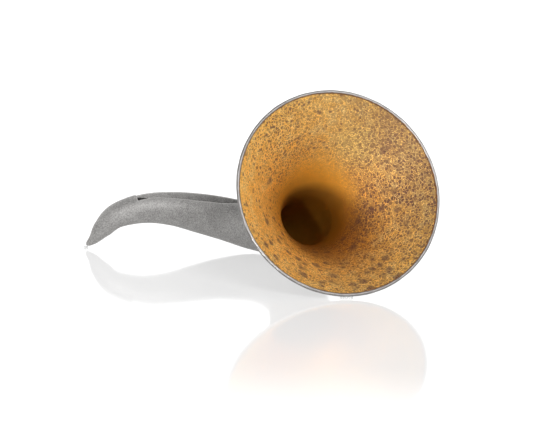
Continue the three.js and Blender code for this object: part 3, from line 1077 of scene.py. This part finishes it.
def steel():
    """Plain turned steel with fine marks."""
    r = Recipe("steel", Metallic=1.0)
    marks = r.noise(0.4, 3.0, 0.7)
    r.drive("Base Color", r.mix(marks, (0.30, 0.30, 0.31), (0.48, 0.48, 0.49)))
    r.finish(marks, 0.25, 0.45, 0.01)
    return "steel", r.material


# -------------------- assembly

CAST, RIM, GILDING = cast_metal(), rim_metal(), gilding()
FELT, RUBBER, SILICONE, STEEL = felt(), rubber(), silicone(), steel()


def add_castings():
    """The slot body, the tail leg and the elbow."""
    cast_piece("slot_body", slot_body_field, CAST, (TAIL_JOINT, ELBOW_JOINT), in_slot, from_slot)
    cast_piece("tail_leg", tail_field, CAST, (TAIL_JOINT,), same, same)
    start, end = ELBOW_JOINT, BELL_JOINT - SEAL_THICKNESS / 2
    corners = ((start, 0), (end, 0), (end, DUCT_WALL), (start, DUCT_WALL))
    points, faces = swept(rounded(corners, ELBOW_ROUNDING))
    add_piece("elbow_fine", points, faces, CAST, ["elbow"], values={"painted_duct_shade": duct_skin(points)})


def add_throat():
    """The tube through the elbow, whose end meets the bell's lining edge to edge."""
    start = ELBOW_JOINT - LINER_TAIL
    near = DUCT_WALL + GAP
    ends = []
    for inset in (lining_inset(LINING_T), lining_inset(LINING_T) + lining_wall(LINING_T)):
        radius, behind = flare_point(LINING_T, inset)
        along = FLARE_LENGTH - behind
        skin = flare_radius(along / FLARE_LENGTH)
        ends.append((BELL_JOINT + along - COLLAR_STEP, skin - radius))
    corners = ((start, near), *ends, (start, near + LINER_WALL))
    tube = swept(rounded(corners, LINER_ROUNDING))
    add_piece("throat_liner_fine", *tube, GILDING, ["throat_liner"])


def add_bell():
    """The bell's shell, lining and bead, and the seal behind it."""
    shell = flare_outline(JOINT_T, lambda t: 0 * t, shell_wall)
    shell[0, 1] = shell[-1, 1] = JOINT_DEPTH - SEAL_THICKNESS / 2
    add_piece("bell_shell_fine", *turned(shell), CAST, ["bell_shell"], BELL_PLACE)
    lining = flare_outline(LINING_T, lining_inset, lambda t: lining_inset(t) + lining_wall(t))
    add_piece("bell_lining_fine", *turned(lining), GILDING, ["bell_lining"], BELL_PLACE)
    add_piece("rim_bead_fine", *bead_surface(), RIM, ["rim_bead"], BELL_PLACE)
    outer = flare_radius(JOINT_T) - SEAL_INSET
    inner = outer - SEAL_WIDTH
    front, back = JOINT_DEPTH - SEAL_THICKNESS / 2, JOINT_DEPTH + SEAL_THICKNESS / 2
    corners = ((outer, front), (outer, back), (inner, back), (inner, front))
    seal = turned(rounded(corners, SEAL_ROUNDING))
    add_piece("joint_seal_fine", *seal, RUBBER, ["joint_seal"], BELL_PLACE)


def add_slot_pads():
    """The rubber strip on the slot's floor and the felt on its four walls."""
    add_floor_pad("slot_floor_pad", RUBBER)
    long = SLOT_LENGTH - 2 * (2 * GAP + PAD_THICKNESS)
    end = SLOT_LENGTH / 2 - PAD_THICKNESS / 2
    side = SLOT_WIDTH / 2 - PAD_THICKNESS / 2
    end_size = (PAD_THICKNESS, SLOT_WIDTH - 2 * GAP, END_PAD_HEIGHT)
    add_felt_pad("slot_pad_front", (long, PAD_THICKNESS, FRONT_PAD_HEIGHT), 0, -side, FELT)
    add_felt_pad("slot_pad_back", (long, PAD_THICKNESS, BACK_PAD_HEIGHT), 0, side, FELT)
    add_felt_pad("slot_end_pad_left", end_size, -end, 0, FELT)
    add_felt_pad("slot_end_pad_right", end_size, end, 0, FELT)


def add_feet():
    """Three clear feet, under the tail, the belly and the rim."""
    add_foot("tail_foot", round_outline(TAIL_FOOT_RADIUS), TAIL_FOOT_TOP, SILICONE)
    add_foot("belly_foot", round_outline(BELLY_FOOT_RADIUS), BELLY_FOOT_TOP, SILICONE)
    add_foot("rim_foot", strip_outline, RIM_FOOT_TOP, SILICONE)


def finish_fixings():
    """The dowel and the screw keep their CAD meshes, in steel."""
    for name in ("tail_dowel", "tail_screw"):
        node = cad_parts[name]
        node.data.materials.clear()
        node.data.materials.append(STEEL[1])


add_castings()
add_throat()
add_bell()
add_slot_pads()
add_feet()
finish_fixings()

# -------------------- stage

FLOOR_HALF = 6000.0
FOREGROUND = (-430.0, -240.0)  # where, along Y, the floor's glow goes over from bright to dim
BEAM_ANGLE = math.radians(5.4)
BEAM_SOURCE = 60.0
BEAM_TARGET = Vector((19, 38, 20))  # in the bell's frame
HORN_MIDDLE = Vector((0, 0, 40))


def add_floor():
    """A light table: a wide sheet of faintly glossy white acrylic, brighter in the foreground."""
    r = Recipe("white_acrylic", Roughness=0.08, IOR=1.4, **{"Emission Strength": 1.0})
    _, y, _ = r.axes(r.place)
    near = r.ease(y, FOREGROUND[0] * MM, FOREGROUND[1] * MM)
    r.drive("Base Color", r.mix(near, (0.40, 0.40, 0.40), (0.36, 0.36, 0.36)))
    r.drive("Emission Color", r.mix(near, (0.80, 0.80, 0.80), (0.51, 0.51, 0.51)))
    corners = np.array([[-1, -1, 0], [1, -1, 0], [1, 1, 0], [-1, 1, 0]]) * FLOOR_HALF
    mesh = bpy.data.meshes.new("floor")
    mesh.from_pydata((corners * MM).tolist(), [], [(0, 1, 2, 3)])
    mesh.materials.append(r.material)
    floor = bpy.data.objects.new("floor", mesh)
    scene.collection.objects.link(floor)


def add_light(kind, name, target, azimuth, elevation, distance, power):
    """A light that faces target, in metres, from an azimuth round from the front and an elevation,
    both in degrees."""
    a, e = math.radians(azimuth), math.radians(elevation)
    back = Vector((math.sin(a) * math.cos(e), -math.cos(a) * math.cos(e), math.sin(e)))
    data = bpy.data.lights.new(name, kind)
    data.energy = power
    light = bpy.data.objects.new(name, data)
    light.location = target + back * distance * MM
    light.rotation_mode = "QUATERNION"
    light.rotation_quaternion = back.to_track_quat("Z", "Y")
    scene.collection.objects.link(light)
    return data


def add_softbox(name, size, **aim):
    """A square soft light that faces the horn."""
    data = add_light("AREA", name, HORN_MIDDLE * MM, **aim)
    data.size = size * MM


def add_snoot(name, **aim):
    """A narrow soft beam into the bell."""
    data = add_light("SPOT", name, BELL_PLACE @ (BEAM_TARGET * MM), **aim)
    data.spot_size = BEAM_ANGLE
    data.spot_blend = 1.0
    data.shadow_soft_size = BEAM_SOURCE * MM


def add_room():
    """A white room, brightest behind the horn and towards the horizon."""
    world = bpy.data.worlds.new("studio")
    world.use_nodes = True
    scene.world = world
    n = Nodes(world.node_tree)
    _, y, z = n.axes(n.node("ShaderNodeTexCoord").outputs["Generated"])
    brightness = n.math("MULTIPLY", n.ease(y, -0.3, 0.8, 0.68, 1.5), n.ease(z, 0.3, 0.8, 1.0, 0.6))
    n.feed(n.tree.nodes["Background"].inputs["Color"], brightness)


def light_studio():
    """The room, a soft light at the front right, a weaker one at the front left and a beam."""
    add_room()
    add_softbox("key", 600.0, azimuth=24, elevation=33, distance=1400.0, power=10.0)
    add_softbox("side", 1200.0, azimuth=-38, elevation=30, distance=1400.0, power=1.5)
    add_snoot("snoot", azimuth=-18, elevation=3, distance=1200.0, power=98.0)


add_floor()
light_studio()
scene.view_settings.view_transform = "Standard"
